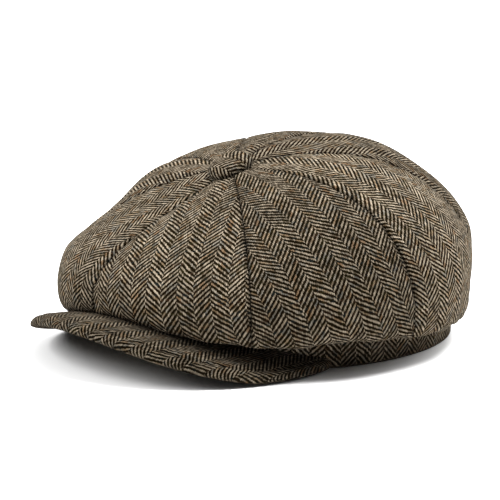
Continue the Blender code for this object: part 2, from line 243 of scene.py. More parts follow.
# ------------------------------------------------------------------- materials
class Graph:
    """Small helper for wiring shader nodes."""

    def __init__(self, name):
        self.mat = bpy.data.materials.new(name)
        self.mat.use_nodes = True
        self.t = self.mat.node_tree
        self.bsdf = self.t.nodes["Principled BSDF"]

    def put(self, socket, value):
        if isinstance(value, bpy.types.NodeSocket):
            self.t.links.new(value, socket)
        else:
            socket.default_value = value

    def math(self, op, *args, clamp=False):
        n = self.t.nodes.new("ShaderNodeMath")
        n.operation = op
        n.use_clamp = clamp
        for i, a in enumerate(args):
            self.put(n.inputs[i], a)
        return n.outputs[0]

    def remap(self, value, a, b, c=0.0, d=1.0, smooth=True):
        n = self.t.nodes.new("ShaderNodeMapRange")
        n.interpolation_type = "SMOOTHSTEP" if smooth else "LINEAR"
        for i, q in enumerate((value, a, b, c, d)):
            self.put(n.inputs[i], q)
        return n.outputs[0]

    def mix(self, fac, a, b, mode="MIX"):
        n = self.t.nodes.new("ShaderNodeMix")
        n.data_type = "RGBA"
        n.blend_type = mode
        self.put(n.inputs[0], fac)
        self.put(n.inputs[6], a if isinstance(a, bpy.types.NodeSocket) else (*a, 1.0))
        self.put(n.inputs[7], b if isinstance(b, bpy.types.NodeSocket) else (*b, 1.0))
        return n.outputs[2]

    def noise(self, vector, scale, detail=2.0, rough=0.5, w=None):
        n = self.t.nodes.new("ShaderNodeTexNoise")
        if w is not None:
            n.noise_dimensions = "4D"
            n.inputs["W"].default_value = w
        self.put(n.inputs["Vector"], vector)
        n.inputs["Scale"].default_value = scale
        n.inputs["Detail"].default_value = detail
        n.inputs["Roughness"].default_value = rough
        return n.outputs["Fac"]

    def combine(self, x, y, z):
        n = self.t.nodes.new("ShaderNodeCombineXYZ")
        for i, q in enumerate((x, y, z)):
            self.put(n.inputs[i], q)
        return n.outputs[0]

    def uv(self, name):
        n = self.t.nodes.new("ShaderNodeUVMap")
        n.uv_map = name
        s = self.t.nodes.new("ShaderNodeSeparateXYZ")
        self.t.links.new(n.outputs[0], s.inputs[0])
        return n.outputs[0], s.outputs[0], s.outputs[1]

    def attr(self, name):
        n = self.t.nodes.new("ShaderNodeAttribute")
        n.attribute_name = name
        return n.outputs["Fac"]

    def obj(self):
        return self.t.nodes.new("ShaderNodeTexCoord").outputs["Object"]

    def white(self, a, b):
        n = self.t.nodes.new("ShaderNodeTexWhiteNoise")
        n.noise_dimensions = "2D"
        self.t.links.new(self.combine(a, b, 0.0), n.inputs[0])
        return n.outputs[0]

    def bump(self, height, distance, strength=1.0, normal=None):
        n = self.t.nodes.new("ShaderNodeBump")
        n.inputs["Strength"].default_value = strength
        n.inputs["Distance"].default_value = distance
        self.put(n.inputs["Height"], height)
        if normal is not None:
            self.t.links.new(normal, n.inputs["Normal"])
        return n.outputs[0]


def herringbone(name, tone=1.0):
    """Broken herringbone twill: pale warp floats stepping over a dark weft,
    with the lines of one stripe meeting the gaps of the next.  The weave UV
    is in metres, U across the stripes and V along them."""
    g = Graph(name)
    vec, u, v = g.uv("weave")
    p = g.obj()
    m = g.math
    # slow wander of the threads
    wob = m("SUBTRACT", g.noise(p, 62.0, 1.0), 0.5)
    fine = m("SUBTRACT", g.noise(p, 430.0, 1.0), 0.5)
    uu = m("ADD", u, m("ADD", m("MULTIPLY", wob, 0.0022), m("MULTIPLY", fine, 0.0004)))
    vv = m("ADD", v, m("ADD", m("MULTIPLY", wob, 0.0018), m("MULTIPLY", fine, 0.0007)))
    yarn = STRIPE / YARNS
    stripe = m("FLOOR", m("DIVIDE", uu, STRIPE))
    side = m("MODULO", m("ABSOLUTE", stripe), 2.0)
    end = m("FLOOR", m("DIVIDE", uu, yarn))
    across = m("SUBTRACT", m("FRACT", m("DIVIDE", uu, yarn)), 0.5)
    # the line climbs partly in steps, one yarn at a time
    zig = m("PINGPONG", uu, STRIPE)
    stepped = m("PINGPONG", m("MULTIPLY", m("ADD", end, 0.5), yarn), STRIPE)
    climb = m("ADD", m("MULTIPLY", zig, 0.62 * SLOPE), m("MULTIPLY", stepped, 0.38 * SLOPE))
    phase = m("DIVIDE", m("SUBTRACT", vv, climb), PITCH)
    phase = m("ADD", phase, m("MULTIPLY", side, 0.5))
    line = m("FLOOR", phase)
    hump = m("SUBTRACT", 1.0, m("MULTIPLY", m("ABSOLUTE", m("SUBTRACT", m("FRACT", phase), 0.5)), 2.0))
    # every float is a little different, and so is every stretch of a line
    float_rnd = g.white(m("ADD", m("MULTIPLY", line, 7.0), 3.0), end)
    run = m("FLOOR", m("DIVIDE", m("ADD", u, m("MULTIPLY", g.white(line, stripe), 0.006)), 0.0027))
    run_rnd = g.white(m("ADD", line, 11.0), run)
    loose = g.noise(p, 1150.0, 3.0, 0.65)
    round_off = m("SUBTRACT", 1.0, m("MULTIPLY", m("MULTIPLY", across, across), 1.9))
    edge = m("ADD", hump, m("MULTIPLY", m("SUBTRACT", loose, 0.5), 0.56))
    edge = m("ADD", edge, m("MULTIPLY", m("SUBTRACT", round_off, 0.84), 0.30))
    edge = m("ADD", edge, m("MULTIPLY", m("SUBTRACT", float_rnd, 0.5), 0.26))
    lit = g.remap(edge, 0.49, 0.64)
    # pale yarn: cream to tan, with stretches of ochre, rust and grey
    tone_l = m("ADD", m("MULTIPLY", float_rnd, 0.58), m("MULTIPLY", run_rnd, 0.42))
    pale = g.mix(g.remap(tone_l, 0.10, 0.90, 0.0, 1.0, False), PALE_LOW, PALE_HIGH)
    hue = g.white(m("ADD", line, 31.7), m("ADD", run, 5.0))
    pale = g.mix(g.remap(hue, 0.82, 0.92, 0.0, 0.55, False), pale, (0.27, 0.175, 0.088))
    pale = g.mix(g.remap(hue, 0.955, 0.985, 0.0, 0.45, False), pale, (0.22, 0.110, 0.052))
    pale = g.mix(g.remap(hue, 0.13, 0.04, 0.0, 0.50, False), pale, (0.155, 0.165, 0.155))
    # painted shade: each pale float darkens towards its ends and towards the sides of its yarn, where the round yarn
    # turns from the light
    painted_yarn_shade = m("MULTIPLY", g.remap(hump, 0.40, 0.95, 0.50, 1.12, False), round_off)
    pale = g.mix(1.0, pale, g.combine(painted_yarn_shade, painted_yarn_shade, painted_yarn_shade), "MULTIPLY")
    # dark weft: near black brown, with teal, russet and ochre threads in it
    pick = m("FLOOR", m("DIVIDE", vv, PITCH / 4.0))
    span = m("FLOOR", m("DIVIDE", m("ADD", u, m("MULTIPLY", g.white(pick, 2.0), 0.009)), 0.0062))
    weft = g.white(m("ADD", pick, 17.0), span)
    deep = g.mix(g.remap(weft, 0.55, 0.72, 0.0, 0.8), DEEP, (0.0150, 0.0092, 0.0036))
    deep = g.mix(g.remap(weft, 0.84, 0.88, 0.0, 0.85), deep, (0.0085, 0.0125, 0.0125))
    deep = g.mix(g.remap(weft, 0.93, 0.96, 0.0, 0.70), deep, (0.038, 0.017, 0.006))
    deep = g.mix(g.remap(weft, 0.10, 0.06, 0.0, 0.7), deep, (0.026, 0.021, 0.0065))
    col = g.mix(lit, deep, pale)
    # short stray fibres over both, and slow change of tone over the cloth
    fuzz = g.noise(p, 2900.0, 2.0, 0.75)
    col = g.mix(g.remap(fuzz, 0.60, 0.84, 0.0, 0.35), col, FUZZ)
    slow = g.noise(p, 24.0, 2.0)
    blotch = g.noise(p, 95.0, 2.0)
    shade = m("MULTIPLY", g.remap(slow, 0.25, 0.75, 0.82, 1.16, False), g.remap(blotch, 0.25, 0.75, 0.82, 1.16, False))
    shade = m("MULTIPLY", m("MULTIPLY", shade, tone), g.remap(fuzz, 0.25, 0.75, 0.80, 1.20, False))
    # per-vertex painted shade (seam grooves, button rim, brim edge seam) and panel tone, partly painted light, scale
    # the cloth's colour here
    shade_and_tone_attr = g.attr("painted_shade_and_tone")
    shade = m("MULTIPLY", shade, m("ADD", 1.0, m("MULTIPLY", shade_and_tone_attr, 0.45)))
    g.put(g.bsdf.inputs["Base Color"], g.mix(1.0, col, g.combine(shade, shade, shade), "MULTIPLY"))
    g.bsdf.inputs["Roughness"].default_value = 1.0
    g.bsdf.inputs["Specular IOR Level"].default_value = 0.01
    g.bsdf.inputs["Sheen Weight"].default_value = 0.05
    g.bsdf.inputs["Sheen Roughness"].default_value = 0.22
    g.bsdf.inputs["Sheen Tint"].default_value = (0.80, 0.72, 0.58, 1.0)
    h = m("ADD", m("MULTIPLY", lit, 0.55), m("MULTIPLY", m("MULTIPLY", lit, round_off), 0.5))
    h = m("ADD", h, m("ADD", m("MULTIPLY", loose, 0.5), m("MULTIPLY", fuzz, 0.3)))
    g.put(g.bsdf.inputs["Normal"], g.bump(h, 0.00045, 0.8))
    return g.mat


PALE_LOW = (0.120, 0.092, 0.060)
PALE_HIGH = (0.490, 0.405, 0.298)
DEEP = (0.0070, 0.0045, 0.0012)
FUZZ = (0.070, 0.053, 0.031)
TWEED = herringbone("tweed", 0.66)
# painted shade: the brim's tweed is a darker copy of the crown's, standing in for the shade the crown casts over it
TWEED_BRIM_SHADED = herringbone("tweed_brim", 0.345)
# painted shade: the band's tweed is a darker copy too, for the shade under the crown's overhang
TWEED_BAND_SHADED = herringbone("tweed_band", 0.54)
# each crown panel's lightness offset: partly the nap of its cut, partly painted light for how the lamps fall on each
# panel (the side panel darker, the back right one lighter)
PANEL_TONE_AND_LIGHT = (0.0, -0.46, 0.28, -0.26, -0.30, -0.10, 0.0, 0.0)


def satin(name, colour):
    g = Graph(name)
    vec, u, v = g.uv("weave")
    p = g.obj()
    m = g.math
    slow = g.noise(p, 30.0, 2.0)
    thread = g.noise(g.combine(m("MULTIPLY", u, 5200.0), m("MULTIPLY", v, 420.0), 0.0), 1.0, 1.0)
    a = g.remap(slow, 0.2, 0.8, 0.86, 1.12, False)
    a = m("MULTIPLY", a, g.remap(thread, 0.2, 0.8, 0.80, 1.18, False))
    g.put(g.bsdf.inputs["Base Color"], g.mix(1.0, colour, g.combine(a, a, a), "MULTIPLY"))
    g.put(g.bsdf.inputs["Roughness"], g.remap(thread, 0.2, 0.8, 0.34, 0.50, False))
    g.bsdf.inputs["Specular IOR Level"].default_value = 0.55
    g.bsdf.inputs["Sheen Weight"].default_value = 0.25
    g.bsdf.inputs["Sheen Roughness"].default_value = 0.35
    g.put(g.bsdf.inputs["Normal"], g.bump(thread, 0.00012, 0.5))
    return g.mat


def ribbed(name, colour, pitch):
    """Ribbed tape: fine cords across its length, U along the tape."""
    g = Graph(name)
    vec, u, v = g.uv("weave")
    p = g.obj()
    m = g.math
    rib = m("ABSOLUTE", m("SINE", m("MULTIPLY", u, pi / pitch)))
    slow = g.noise(p, 60.0, 2.0)
    fine = g.noise(p, 2400.0, 2.0)
    # painted shade: darker in the grooves between the cords
    a = m("MULTIPLY", g.remap(rib, 0.0, 0.8, 0.55, 1.12, False), g.remap(slow, 0.2, 0.8, 0.85, 1.12, False))
    a = m("MULTIPLY", a, g.remap(fine, 0.25, 0.75, 0.80, 1.2, False))
    g.put(g.bsdf.inputs["Base Color"], g.mix(1.0, colour, g.combine(a, a, a), "MULTIPLY"))
    g.put(g.bsdf.inputs["Roughness"], g.remap(fine, 0.2, 0.8, 0.75, 0.92, False))
    g.bsdf.inputs["Specular IOR Level"].default_value = 0.25
    g.bsdf.inputs["Sheen Weight"].default_value = 0.15
    g.put(g.bsdf.inputs["Normal"], g.bump(m("ADD", rib, m("MULTIPLY", fine, 0.4)), 0.00022, 0.8))
    return g.mat


def plain_weave(name, colour, pitch, rough=0.85):
    g = Graph(name)
    vec, u, v = g.uv("weave")
    p = g.obj()
    m = g.math
    a = m("ABSOLUTE", m("SINE", m("MULTIPLY", u, pi / pitch)))
    b = m("ABSOLUTE", m("SINE", m("MULTIPLY", v, pi / pitch)))
    w = m("MULTIPLY", a, b)
    fine = g.noise(p, 2000.0, 2.0)
    # painted shade: darker in the gaps between the threads
    k = m("MULTIPLY", g.remap(w, 0.0, 0.8, 0.72, 1.08, False), g.remap(fine, 0.25, 0.75, 0.88, 1.12, False))
    g.put(g.bsdf.inputs["Base Color"], g.mix(1.0, colour, g.combine(k, k, k), "MULTIPLY"))
    g.put(g.bsdf.inputs["Roughness"], g.remap(fine, 0.2, 0.8, rough - 0.08, rough + 0.08, False))
    g.bsdf.inputs["Specular IOR Level"].default_value = 0.2
    g.put(g.bsdf.inputs["Normal"], g.bump(w, 0.00018, 0.7))
    return g.mat


def thread_mat(name, colour):
    g = Graph(name)
    p = g.obj()
    fine = g.noise(p, 3000.0, 2.0)
    slow = g.noise(p, 90.0, 1.0)
    k = g.math("MULTIPLY", g.remap(fine, 0.25, 0.75, 0.75, 1.2, False), g.remap(slow, 0.25, 0.75, 0.85, 1.15, False))
    g.put(g.bsdf.inputs["Base Color"], g.mix(1.0, colour, g.combine(k, k, k), "MULTIPLY"))
    g.put(g.bsdf.inputs["Roughness"], g.remap(fine, 0.2, 0.8, 0.55, 0.8, False))
    g.put(g.bsdf.inputs["Normal"], g.bump(fine, 0.0001, 0.6))
    return g.mat


def metal_mat(name):
    g = Graph(name)
    p = g.obj()
    n = g.noise(p, 500.0, 3.0)
    g.put(g.bsdf.inputs["Base Color"], g.mix(n, (0.40, 0.40, 0.41), (0.55, 0.55, 0.56)))
    g.put(g.bsdf.inputs["Roughness"], g.remap(n, 0.2, 0.8, 0.3, 0.5, False))
    g.bsdf.inputs["Metallic"].default_value = 1.0
    return g.mat


def board_mat(name):
    g = Graph(name)
    p = g.obj()
    n = g.noise(p, 700.0, 3.0)
    g.put(g.bsdf.inputs["Base Color"], g.mix(n, (0.03, 0.03, 0.03), (0.06, 0.06, 0.058)))
    g.put(g.bsdf.inputs["Roughness"], g.remap(n, 0.2, 0.8, 0.55, 0.75, False))
    g.put(g.bsdf.inputs["Normal"], g.bump(n, 0.0002, 0.4))
    return g.mat


SATIN = satin("lining_satin", (0.052, 0.036, 0.026))
TAPE = ribbed("sweatband_tape", (0.022, 0.018, 0.015), 0.0011)
LABEL = plain_weave("label_weave", (0.50, 0.45, 0.35), 0.0006)
BUCKRAM = plain_weave("buckram", (0.55, 0.52, 0.45), 0.0012)
THREAD = thread_mat("thread", (0.060, 0.046, 0.030))
THREAD_DARK = thread_mat("thread_dark", (0.020, 0.016, 0.012))
STEEL = metal_mat("button_steel")
BOARD = board_mat("stiffener_board")


# --------------------------------------------------------------------- meshes
def quads(nu, nv, flip=False):
    i = np.arange(nu - 1)[:, None] * nv + np.arange(nv - 1)[None, :]
    f = np.stack([i, i + 1, i + nv + 1, i + nv], -1).reshape(-1, 4)
    return f[:, ::-1] if flip else f


def mesh(name, verts, faces, mat, uv=None, painted_shade_and_tone=None):
    """Mesh object with its weave UV (metres, one pair per vertex)."""
    me = bpy.data.meshes.new(name)
    faces = np.asarray(faces, np.int32)
    me.vertices.add(len(verts))
    me.vertices.foreach_set("co", np.asarray(verts, np.float32).ravel())
    me.loops.add(faces.size)
    me.loops.foreach_set("vertex_index", faces.ravel())
    me.polygons.add(len(faces))
    k = faces.shape[1]
    me.polygons.foreach_set("loop_start", np.arange(len(faces), dtype=np.int32) * k)
    me.update(calc_edges=True)
    me.validate()
    layer = me.uv_layers.new(name="weave")
    if uv is None:
        uv = np.asarray(verts)[:, :2]
    vi = np.zeros(len(me.loops), np.int32)
    me.loops.foreach_get("vertex_index", vi)
    layer.data.foreach_set("uv", np.asarray(uv, np.float32)[vi].ravel())
    # per-vertex painted shade and panel tone, read by the tweed material
    a = me.attributes.new("painted_shade_and_tone", "FLOAT", "POINT")
    if painted_shade_and_tone is not None:
        a.data.foreach_set("value", np.asarray(painted_shade_and_tone, np.float32).ravel())
    me.materials.append(mat)
    me.polygons.foreach_set("use_smooth", np.ones(len(me.polygons), bool))
    ob = bpy.data.objects.new(name, me)
    bpy.context.scene.collection.objects.link(ob)
    return ob


def shell(name, outer, inner, mat, uv, painted_shade_and_tone=None):
    """Closed cloth from matching outer and inner grids (nu, nv, 3)."""
    nu, nv = outer.shape[:2]
    k = nu * nv
    f = [quads(nu, nv), quads(nu, nv)[:, ::-1] + k]
    rim = ([i * nv for i in range(nu)] + [(nu - 1) * nv + j for j in range(1, nv)]
           + [i * nv + nv - 1 for i in range(nu - 2, -1, -1)] + [j for j in range(nv - 2, 0, -1)])
    r = np.array(rim)
    q = np.roll(r, -1)
    f.append(np.stack([r, q, q + k, r + k], -1))
    verts = np.concatenate([outer.reshape(-1, 3), inner.reshape(-1, 3)])
    uv2 = np.concatenate([uv.reshape(-1, 2)] * 2)
    w = None if painted_shade_and_tone is None else np.concatenate([painted_shade_and_tone.ravel()] * 2)
    return mesh(name, verts, np.concatenate(f), mat, uv2, w)


def fabric_uv(points, normals, centre):
    """Lays the cloth's threads over a grid: V follows the centre column, and
    each row is unrolled sideways from it with the thread direction carried
    along."""
    nu, nv = points.shape[:2]
    uv = np.zeros((nu, nv, 2))
    mid = points[centre]
    step = np.linalg.norm(np.diff(mid, axis=0), axis=1)
    uv[centre, 1:, 1] = -np.cumsum(step)
    tang = np.gradient(mid, axis=0)
    tang /= np.linalg.norm(tang, axis=1, keepdims=True)
    for sgn in (1, -1):
        vdir = -tang.copy()
        n0 = normals[centre]
        vdir -= n0 * (vdir * n0).sum(1, keepdims=True)
        vdir /= np.linalg.norm(vdir, axis=1, keepdims=True)
        udir = np.cross(vdir, n0)
        i = centre
        while 0 <= i + sgn < nu:
            k = i + sgn
            d = points[k] - points[i]
            n1 = normals[k]
            v1 = vdir - n1 * (vdir * n1).sum(1, keepdims=True)
            v1 /= np.linalg.norm(v1, axis=1, keepdims=True)
            u1 = np.cross(v1, n1)
            du = (d * (udir + u1) / 2).sum(1)
            dv = (d * (vdir + v1) / 2).sum(1)
            uv[k, :, 0] = uv[i, :, 0] + du
            uv[k, :, 1] = uv[i, :, 1] + dv
            vdir, udir, i = v1, u1, k
    return uv


def ride(ob, body, nodes=()):
    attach(ob, body)
    if nodes:
        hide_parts(*nodes)
    return ob


def panel_edges(index):
    return radians(SEAMS[index]), radians((*SEAMS, SEAMS[0] + 360.0)[index + 1])


GRAIN = (8.0, 6.0, -7.0, 0.0, 0.0, 0.0, 0.0, 4.0)   # degrees each panel was cut off the straight grain


def lay_flat(points, uv, rounds=14, cut=0.0):
    """Lays a curved panel out flat with as little stretch as it allows, as
    the cloth was before it was sewn, starting from a rough layout."""
    nu, nv = points.shape[:2]
    p = points.reshape(-1, 3)
    x = uv.reshape(-1, 2).copy()
    q = quads(nu, nv)
    tri = np.concatenate([q[:, [0, 1, 2]], q[:, [0, 2, 3]], q[:, [0, 1, 3]], q[:, [1, 2, 3]]])
    a, b, c = (p[tri[:, k]] for k in range(3))
    ab, ac = b - a, c - a
    lab = np.linalg.norm(ab, axis=1)
    e1 = ab / lab[:, None]
    cx = (ac * e1).sum(1)
    cy = np.linalg.norm(ac - e1 * cx[:, None], axis=1)
    rest = np.zeros((len(tri), 3, 2))
    rest[:, 1, 0] = lab
    rest[:, 2, 0], rest[:, 2, 1] = cx, cy
    # same turning sense as the layout it starts from
    u0 = x[tri]
    area = np.cross(u0[:, 1] - u0[:, 0], u0[:, 2] - u0[:, 0]).sum()
    if area < 0:
        rest[:, 2, 1] *= -1
    ends = [(0, 1, 2), (1, 2, 0), (2, 0, 1)]
    wt = []
    for i, j, k in ends:
        d1, d2 = rest[:, i] - rest[:, k], rest[:, j] - rest[:, k]
        cot = (d1 * d2).sum(1) / np.maximum(np.abs(d1[:, 0] * d2[:, 1] - d1[:, 1] * d2[:, 0]), 1e-12)
        wt.append(np.clip(cot, 0.05, 20.0))
    n = len(p)
    ii = np.concatenate([tri[:, i] for i, j, k in ends])
    jj = np.concatenate([tri[:, j] for i, j, k in ends])
    ww = np.concatenate(wt)
    diag = np.bincount(ii, ww, n) + np.bincount(jj, ww, n)

    def lap(z):
        d = (z[ii] - z[jj]) * ww[:, None]
        return np.stack([np.bincount(ii, d[:, k], n) - np.bincount(jj, d[:, k], n) for k in (0, 1)], 1)

    r_edge = np.concatenate([rest[:, i] - rest[:, j] for i, j, k in ends])
    for _ in range(rounds):
        e = x[ii] - x[jj]
        m = len(tri)
        s11 = sum(ww[o * m:o * m + m] * (e[o * m:o * m + m] * r_edge[o * m:o * m + m]).sum(1) for o in range(3))
        s12 = sum(ww[o * m:o * m + m] * (e[o * m:o * m + m, 1] * r_edge[o * m:o * m + m, 0]
                                         - e[o * m:o * m + m, 0] * r_edge[o * m:o * m + m, 1]) for o in range(3))
        h = np.hypot(s11, s12) + 1e-20
        co, si = np.tile(s11 / h, 3), np.tile(s12 / h, 3)
        t = np.stack([co * r_edge[:, 0] - si * r_edge[:, 1], si * r_edge[:, 0] + co * r_edge[:, 1]], 1) * ww[:, None]
        rhs = np.stack([np.bincount(ii, t[:, k], n) - np.bincount(jj, t[:, k], n) for k in (0, 1)], 1)
        r = rhs - lap(x)
        zz = r / diag[:, None]
        d = zz.copy()
        rz = (r * zz).sum(0)
        for _ in range(120):
            ad = lap(d)
            al = rz / np.maximum((d * ad).sum(0), 1e-30)
            x = x + al * d
            r = r - al * ad
            zz = r / diag[:, None]
            new = (r * zz).sum(0)
            if new.max() < 1e-16:
                break
            d = zz + (new / np.maximum(rz, 1e-30)) * d
            rz = new
    x = x.reshape(nu, nv, 2)
    mid = x[nu // 2]
    way = mid[int(nv * 0.55)] - mid[int(nv * 0.12)]
    turn = np.arctan2(way[1], way[0]) + pi / 2 + radians(cut)
    co, si = cos(turn), sin(turn)
    x = x - mid[0]
    return np.stack([co * x[..., 0] + si * x[..., 1], -si * x[..., 0] + co * x[..., 1]], -1)


# ---------------------------------------------------------------- crown panels
ROLL = 0.0016              # radius the cloth rolls into its seam with


def crown_panel(index):
    a0, a1 = panel_edges(index)
    s = np.concatenate([np.linspace(0.030, 1.0, 84), np.linspace(1.0, 2.0, 52)[1:]])
    core = np.linspace(0, 1, 41)
    width = np.zeros(len(s))
    fine = crown(np.linspace(a0, a1, 25), s)
    width = np.linalg.norm(np.diff(fine, axis=0), axis=2).sum(0)
    near = np.array([0.0, 0.08, 0.22, 0.42, 0.70, 1.05]) * ROLL
    cols = len(near) * 2 + len(core) - 2
    th = np.zeros((cols, len(s)))
    dist = np.zeros((cols, len(s)))
    for j, w in enumerate(width):
        r = min(1.6 * ROLL, w * 0.16)
        lo = near / near[-1] * r
        inner = r + (w - 2 * r) * core
        d = np.concatenate([lo[:-1], inner, (w - lo[:-1])[::-1]])[:cols]
        th[:, j] = a0 + (a1 - a0) * d / w
        dist[:, j] = np.minimum(d, w - d)
    pts = np.zeros((cols, len(s), 3))
    nor = np.zeros((cols, len(s), 3))
    base_n = np.zeros((cols, len(s), 3))
    for j, sj in enumerate(s):
        p, n = surf(th[:, j], sj, SEAM_DIP)
        q, m = surf(th[:, j], sj, 0.0)
        pts[:, j], nor[:, j], base_n[:, j] = p[:, 0], n[:, 0], m[:, 0]
    base_n /= np.linalg.norm(base_n, axis=-1, keepdims=True)
    grain = np.linspace(0, 1, 25)
    gp, gn = surf(a0 + (a1 - a0) * grain, s, 0.0)
    gu = lay_flat(gp, fabric_uv(gp, gn, 12), cut=GRAIN[index])
    uv = np.zeros((cols, len(s), 2))
    for j in range(len(s)):
        f = (th[:, j] - a0) / (a1 - a0)
        uv[:, j, 0] = np.interp(f, grain, gu[:, j, 0])
        uv[:, j, 1] = np.interp(f, grain, gu[:, j, 1])
    flat = pts.reshape(-1, 3)
    body = ease((s[None, :] - 0.05) / 0.25) * ease((2.0 - s[None, :]) / 0.35)
    # soft unevenness of the cloth, puckers along the seams, drags at the band
    wave = field(flat, 0.055, index + 1).reshape(cols, -1) * 0.0016
    wave += field(flat, 0.024, index + 21).reshape(cols, -1) * 0.0006
    run = -uv[..., 1]
    gather = np.sin(2 * pi * run / 0.0125 + 3.0 * field(flat, 0.03, index + 41).reshape(cols, -1) + index)
    pucker = 0.00038 * gather * np.exp(-dist / 0.007) * ease((s[None, :] - 0.1) / 0.2)
    drag = 0.0009 * np.sin(uv[..., 0] / 0.0031 + 4 * field(flat, 0.02, index + 61).reshape(cols, -1))
    drag = drag * ease((s[None, :] - 1.25) / 0.5) * ease((2.02 - s[None, :]) / 0.1)
    lift = (wave * body * ease(dist / 0.012) + pucker + drag * ease(dist / 0.004))
    # the roll into the seam: a quarter round
    r = ROLL
    inside = np.clip(1 - dist / r, 0, 1)
    roll = r * (1 - np.sqrt(np.clip(1 - inside ** 2, 0, 1)))
    roll = np.minimum(roll, width[None, :] * 0.2)
    # pressed flat under the button, and shallower where the crown folds under
    press = (0.30 + 0.70 * ease((s - 0.10) / 0.20)) * (1 - 0.60 * ease((s - 1.10) / 0.28))
    roll = roll * press[None, :]
    out = pts + base_n * (lift - roll)[..., None]
    # edges turn in along the seam
    first = out[0] - base_n[0] * 0.0022
    last = out[-1] - base_n[-1] * 0.0022
    out = np.concatenate([first[None], out, last[None]])
    nn = np.concatenate([base_n[:1], base_n, base_n[-1:]])
    uvx = np.concatenate([uv[:1], uv, uv[-1:]])
    inner = out - nn * 0.0011
    # painted shade, dark in the seam groove; and each panel a little lighter or darker, partly with its cut and partly
    # as painted light
    seam = ease(1 - dist / 0.003) * -0.45 - 0.55 * np.exp(-(dist / 0.0009) ** 2)
    painted_shade_and_tone = np.concatenate([seam[:1], seam, seam[-1:]]) + PANEL_TONE_AND_LIGHT[index]
    shift = np.array([(0.0031, 0.0011), (0.0012, 0.0020), (0.0050, 0.0004), (0.0022, 0.0015),
                      (0.0069, 0.0009), (0.0041, 0.0023), (0.0015, 0.0002), (0.0058, 0.0018)])[index]
    ob = shell("crown_cloth_%d" % (index + 1), out, inner, TWEED, uvx + shift + 1.0, painted_shade_and_tone)
    return ride(ob, "cap", ["crown_panel_%d" % (index + 1)])


for k in range(N_PANELS):
    crown_panel(k)


# ---------------------------------------------------------------------- lining
def lining_gore(index):
    a0, a1 = panel_edges(index)
    s = np.concatenate([np.linspace(0.022, 1.0, 56), np.linspace(1.0, 2.0, 36)[1:]])
    t = np.concatenate([[0, 0.006, 0.015], np.linspace(0.03, 0.97, 23), [0.985, 0.994, 1.0]])
    e = 0.004
    th = a0 + (a1 - a0) * t
    pts = lining(th, s)
    lo, hi = np.clip(s - 0.01, 0.02, 2), np.clip(s + 0.01, 0.024, 2)
    du = lining(th + e, s) - lining(th - e, s)
    dv = lining(th, hi) - lining(th, lo)
    n = np.cross(dv, du)
    n /= np.linalg.norm(n, axis=-1, keepdims=True)
    row = np.linalg.norm(np.diff(pts, axis=0), axis=2).sum(0)
    dist = np.minimum(t, 1 - t)[:, None] * row[None, :]
    uv = fabric_uv(pts, n, len(t) // 2)
    flat = pts.reshape(-1, 3)
    wave = field(flat, 0.035, index + 81).reshape(len(t), -1) * 0.0011
    run = -uv[..., 1]
    pucker = 0.0005 * np.sin(2 * pi * run / 0.007 + 3 * field(flat, 0.02, index + 91).reshape(len(t), -1)) * np.exp(-dist / 0.005)
    body = ease((s[None, :] - 0.05) / 0.3) * ease((2.0 - s[None, :]) / 0.3)
    seam = 0.0012 * np.exp(-(dist / 0.0012) ** 2) * ease((2.0 - s[None, :]) / 0.15) * ease((s[None, :]) / 0.1)
    gather = 0.0007 * np.sin(uv[..., 0] / 0.0011 + 5 * field(flat, 0.015, index + 95).reshape(len(t), -1))
    gather = gather * ease((s[None, :] - 1.45) / 0.4) * ease((2.0 - s[None, :]) / 0.06)
    out = pts + n * (np.minimum(wave, 0.0007) * body * ease(dist / 0.008) + seam - 0.0003 + (pucker + gather) * body)[..., None]
    inner = out - n * 0.0004
    ob = shell("lining_gore_%d" % (index + 1), out, inner, SATIN, uv + 1.0)
    return ride(ob, "cap", ["lining_panel_%d" % (index + 1)])


for k in range(N_PANELS):
    lining_gore(k)


# ------------------------------------------------------------------- head band
def tape(name, mat, rows, seg, uv_rows, cross=None):
    """Closed tape round the head: rows of (offset, height); the brim's arch is added to every height."""
    th = 2 * pi * np.arange(seg + 1) / seg
    xr, yr = ring(th)
    a = arch(xr, yr)
    bx, by = ring(th)
    run = np.concatenate([[0], np.cumsum(np.hypot(np.diff(bx), np.diff(by)))])
    pts, uv = [], []
    n = len(rows)
    for k, (off, z) in enumerate(rows + rows[:1]):
        x, y = ring(th, 0.0)
        nx, ny = np.sin(th) / BAND_X, -np.cos(th) / BAND_Y
        q = np.hypot(nx, ny)
        o = off if np.isscalar(off) else off(th)
        zz = z if np.isscalar(z) else z(th)
        pts.append(np.stack([x + nx / q * o, y + ny / q * o, a + zz], -1))
        uv.append(np.stack([np.full(seg + 1, uv_rows[k % len(uv_rows)] if k < n else uv_rows[0] + 0.0001), run], -1) if cross else
                  np.stack([run, np.full(seg + 1, uv_rows[k % len(uv_rows)])], -1))
    pts, uv = np.array(pts), np.array(uv)
    verts = pts[:, :].reshape(-1, 3)
    w = seg + 1
    i = np.arange(n)[:, None] * w + np.arange(seg)[None, :]
    faces = np.stack([i, i + 1, i + w + 1, i + w], -1).reshape(-1, 4)
    ob = mesh(name, verts, faces, mat, uv.reshape(-1, 2) + 1.0)
    import bmesh
    bm = bmesh.new()
    bm.from_mesh(ob.data)
    bmesh.ops.remove_doubles(bm, verts=bm.verts, dist=1e-6)
    bmesh.ops.recalc_face_normals(bm, faces=bm.faces)
    bm.to_mesh(ob.data)
    bm.free()
    return ob


